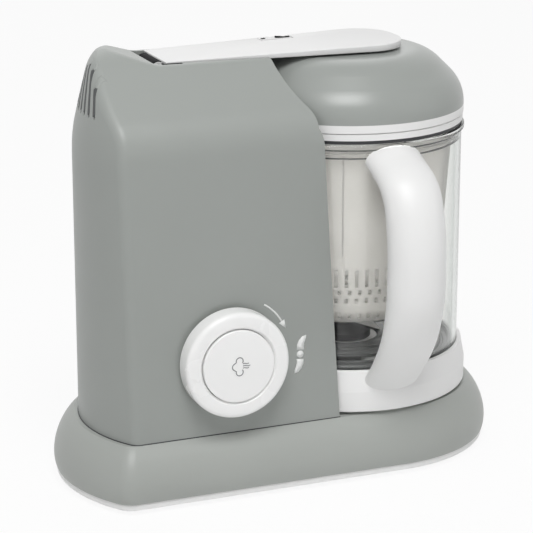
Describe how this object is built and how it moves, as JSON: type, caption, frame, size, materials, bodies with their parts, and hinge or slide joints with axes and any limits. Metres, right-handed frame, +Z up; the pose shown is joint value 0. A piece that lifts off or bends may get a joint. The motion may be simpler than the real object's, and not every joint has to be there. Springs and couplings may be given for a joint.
{
  "type": "baby food maker",
  "caption": "Counter-top baby food maker: a steam tower with a hinged steam arm and knob beside a lidded blender jug with basket, blade and handle, on a flared plinth.",
  "frame": {"origin": "centre of the overall bounding box, on the table under the rubber feet", "axes": "+X along the plinth from the tower to the jug, +Y from the front with the handle and knob to the back, +Z up"},
  "size_m": [0.278, 0.2025, 0.2546],
  "materials": {
    "shell_grey": "satin light grey moulded plastic",
    "plinth_grey": "satin light grey moulded plastic",
    "white_plastic": "glossy white moulded plastic",
    "button_grey": "pale grey moulded plastic",
    "smoke_clear": "clear smoke-tinted moulded copolyester",
    "basket_clear": "translucent smoke moulded plastic",
    "dome_grey": "light grey moulded plastic",
    "dark_seal": "dark silicone",
    "grey_seal": "grey silicone",
    "black_plastic": "black moulded plastic",
    "rubber": "soft black rubber",
    "steel": "brushed stainless steel",
    "zinc": "zinc-plated steel",
    "brass": "sintered bronze",
    "aluminium": "cast aluminium",
    "board_green": "green printed board"
  },
  "bodies": {
    "machine": {"base_tray": "white_plastic", "rubber_feet": "rubber", "base_screws": "zinc", "plinth_skirt": "plinth_grey", "tower_shell": "shell_grey", "water_tank": "steel", "heater_plate": "aluminium", "heater_element": "steel", "thermostat": "black_plastic", "motor_mount": "zinc", "motor_can": "zinc", "spindle_bush": "brass", "drive_belt": "rubber", "switch_block": "black_plastic", "control_board": "board_green", "cord_gland": "black_plastic", "hinge_pin": "steel", "hinge_bracket": "black_plastic", "jug_seat": "plinth_grey"},
    "steam_arm": {"arm_cover": "white_plastic", "tank_seal": "grey_seal", "arm_nozzle": "grey_seal"},
    "latch": {"latch_slider": "white_plastic"},
    "knob": {"knob_ring": "white_plastic", "knob_cam": "black_plastic"},
    "button": {"steam_button": "button_grey"},
    "rotor": {"motor_shaft": "steel", "motor_pulley": "black_plastic"},
    "spindle": {"drive_spindle": "steel", "drive_pulley": "black_plastic", "drive_coupling": "black_plastic"},
    "jug": {"jug_collar": "white_plastic", "jug_bowl": "smoke_clear", "jug_gasket": "grey_seal", "blade_base": "white_plastic", "blade_seal": "grey_seal", "steam_basket": "basket_clear"},
    "blade": {"blade_hub": "black_plastic", "blade_knives": "steel", "blade_shaft": "steel", "blade_socket": "black_plastic"},
    "jug_lid": {"lid_dome": "dome_grey", "lid_ring": "white_plastic", "lid_seal": "dark_seal", "lid_port": "grey_seal"}
  },
  "joints": [
    {"name": "arm_hinge", "type": "hinge", "parent": "machine", "child": "steam_arm", "pos_m": [-0.072, 0.0155, 0.2416], "axis": [0, -1, 0], "range_deg": [0, 90]},
    {"name": "latch_slide", "type": "slide", "parent": "steam_arm", "child": "latch", "axis": [0, -1, 0], "range_m": [0, 0.002], "stiffness_N_per_m": 200},
    {"name": "knob_turn", "type": "hinge", "parent": "machine", "child": "knob", "pos_m": [-0.05, -0.0543, 0.082], "axis": [0, 1, 0], "range_deg": [0, 40], "stiffness_Nm_per_rad": 0.05},
    {"name": "button_press", "type": "slide", "parent": "machine", "child": "button", "axis": [0, 1, 0], "range_m": [0, 0.002], "stiffness_N_per_m": 400},
    {"name": "spindle_spin", "type": "hinge", "parent": "machine", "child": "spindle", "pos_m": [0.0512, 0.0155, 0.02], "axis": [0, 0, 1], "continuous": true},
    {"name": "rotor_spin", "type": "hinge", "parent": "machine", "child": "rotor", "pos_m": [-0.072, 0.0155, 0.02], "axis": [0, 0, 1], "continuous": true},
    {"name": "jug_twist", "type": "hinge", "parent": "machine", "child": "jug", "pos_m": [0.0512, 0.0155, 0.039], "axis": [0, 0, 1], "range_deg": [0, 20]},
    {"name": "blade_spin", "type": "hinge", "parent": "jug", "child": "blade", "pos_m": [0.0512, 0.0155, 0.06], "axis": [0, 0, 1], "continuous": true},
    {"name": "lid_twist", "type": "hinge", "parent": "jug", "child": "jug_lid", "pos_m": [0.0512, 0.0155, 0.2], "axis": [0, 0, 1], "range_deg": [0, 20]}
  ],
  "couplings": [
    {"joint": "blade_spin", "follows": "spindle_spin", "ratio": 1},
    {"joint": "rotor_spin", "follows": "spindle_spin", "ratio": 3}
  ]
}
